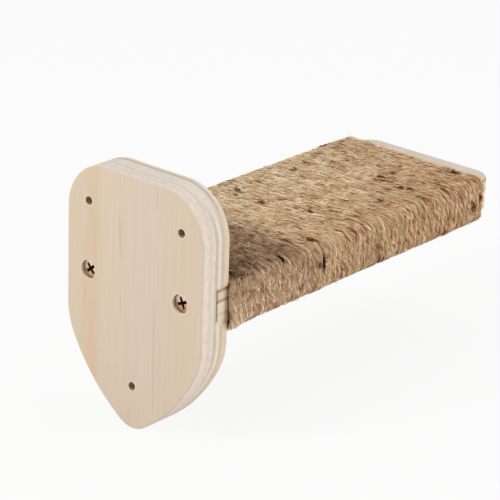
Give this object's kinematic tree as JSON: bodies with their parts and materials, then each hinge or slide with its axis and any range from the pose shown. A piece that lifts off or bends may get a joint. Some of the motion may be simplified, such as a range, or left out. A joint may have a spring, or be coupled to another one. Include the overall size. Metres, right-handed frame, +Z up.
{
  "type": "cat wall step",
  "caption": "Wall-mounted cat step: a shield-shaped plywood wall plate with a rope-wound board let into it and screwed on from behind.",
  "frame": {"origin": "on the plate's wall face, on the plane of symmetry, at half the tread board's thickness", "axes": "+Y is the plate's outward normal into the wall, the tread reaches out along -Y, +Z up, X across the plate"},
  "size_m": [0.109, 0.2665, 0.148],
  "materials": {
    "plate_plywood": "sanded bare pine plywood, seven plies",
    "tread_plywood": "sanded bare plywood",
    "screw_metal": "zinc plate with a warm tint",
    "jute_rope": "coarse natural jute, hairy"
  },
  "bodies": {
    "root": {"back_plate": "plate_plywood", "tread_board": "tread_plywood", "tread_screws": "screw_metal", "rope_wrap": "jute_rope"}
  },
  "joints": []
}
